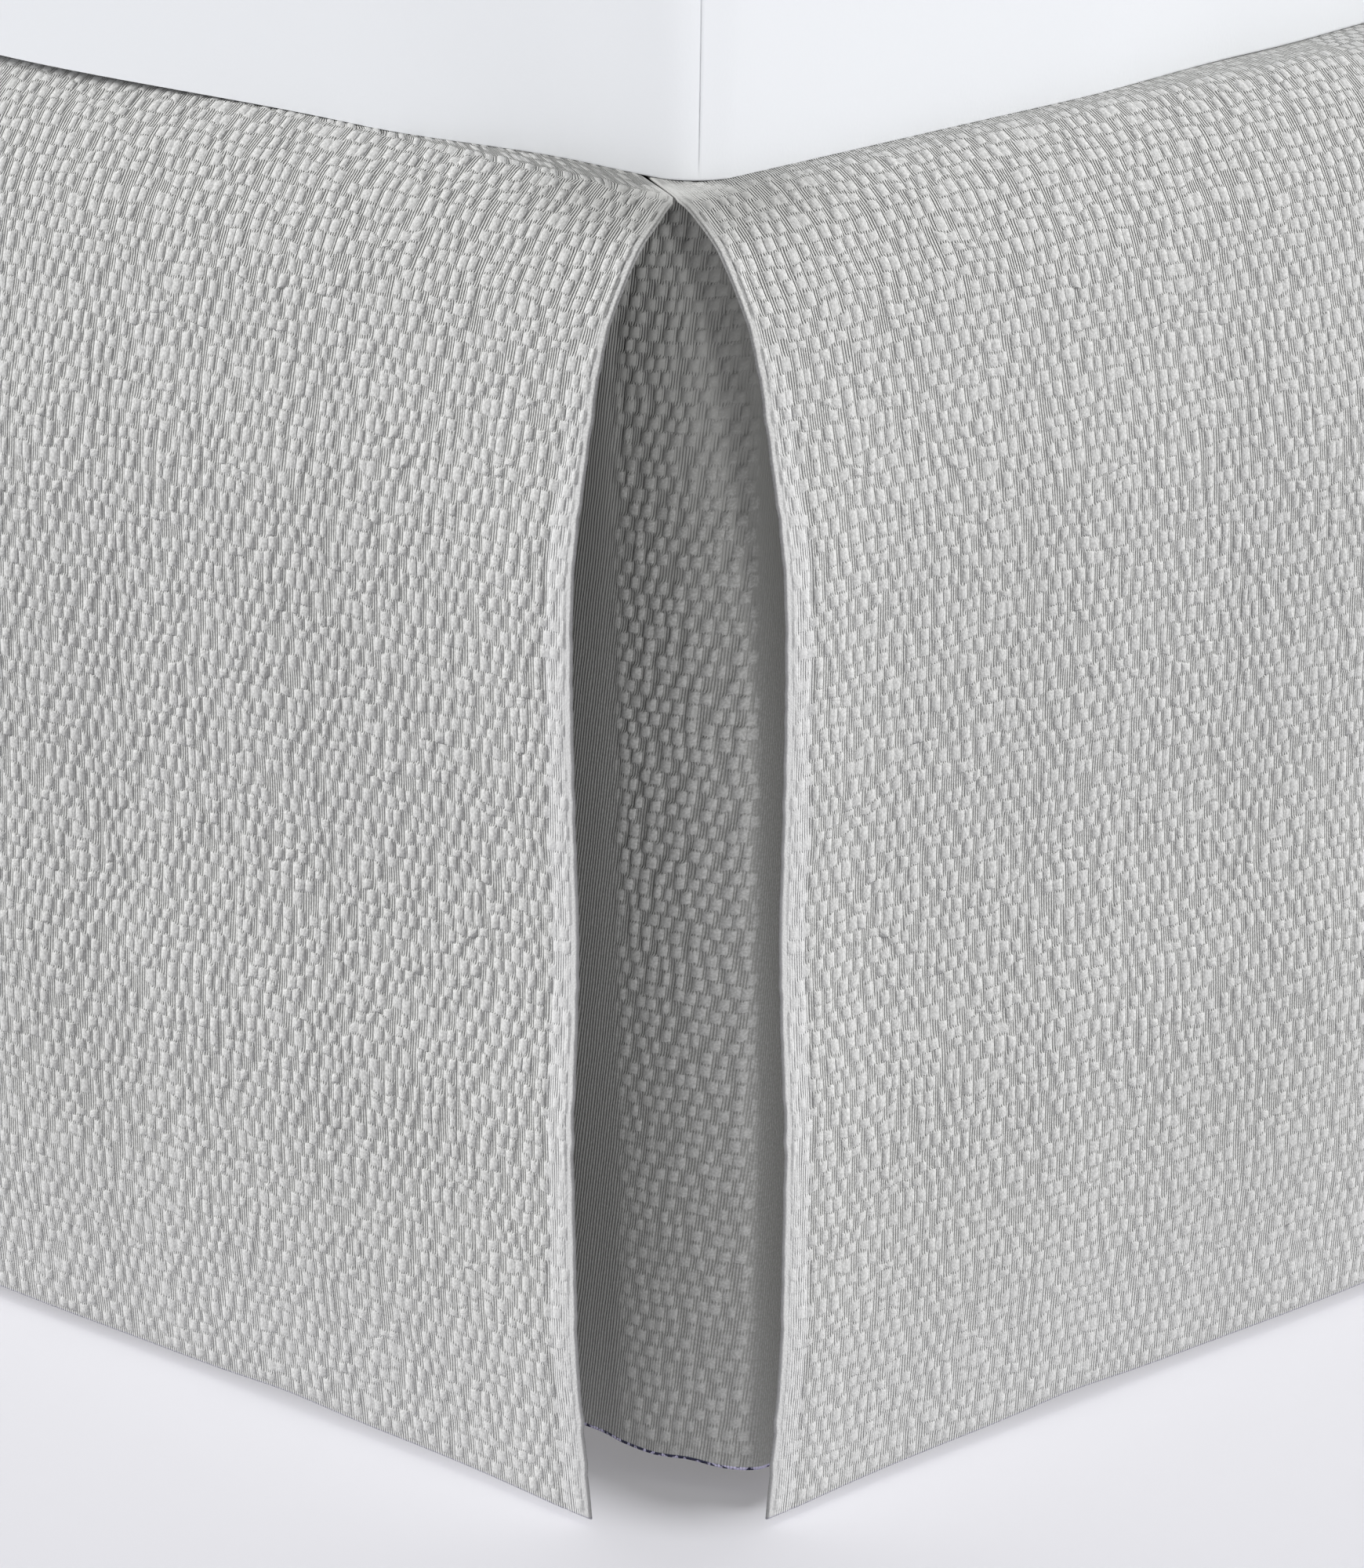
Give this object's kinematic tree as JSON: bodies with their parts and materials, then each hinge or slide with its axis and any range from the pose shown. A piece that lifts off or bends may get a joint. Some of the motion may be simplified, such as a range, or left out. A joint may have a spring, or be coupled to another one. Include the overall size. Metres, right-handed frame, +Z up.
{
  "type": "bed skirt fitted on a bed base with its mattress",
  "caption": "Tailored bed skirt with split foot corners: flat textured panels hang to the floor from a bed base, an insert behind each split, the mattress on top.",
  "frame": {"origin": "on the floor, under the middle of the whole", "axes": "+X to the right seen from the foot of the bed, +Y towards the head of the bed, +Z up"},
  "size_m": [1.08, 1.9482, 0.6395],
  "materials": {
    "matelasse_cloth": "heavy off-white matelasse cotton, raised square puffs among fine ribs, matt",
    "platform_cloth": "plain white cotton, matt",
    "base_cover": "plain woven upholstery cover, matt",
    "leg_wood": "dark stained wood, satin",
    "mattress_cover": "smooth white fitted sheet, matt"
  },
  "bodies": {
    "root": {"platform_sheet": "platform_cloth", "foot_panel": "matelasse_cloth", "side_panel_right": "matelasse_cloth", "side_panel_left": "matelasse_cloth", "corner_insert_right": "matelasse_cloth", "corner_insert_left": "matelasse_cloth", "bed_base": "base_cover", "bed_leg_foot_right": "leg_wood", "bed_leg_foot_left": "leg_wood", "bed_leg_mid_right": "leg_wood", "bed_leg_mid_left": "leg_wood", "bed_leg_head_right": "leg_wood", "bed_leg_head_left": "leg_wood", "mattress": "mattress_cover"}
  },
  "joints": []
}
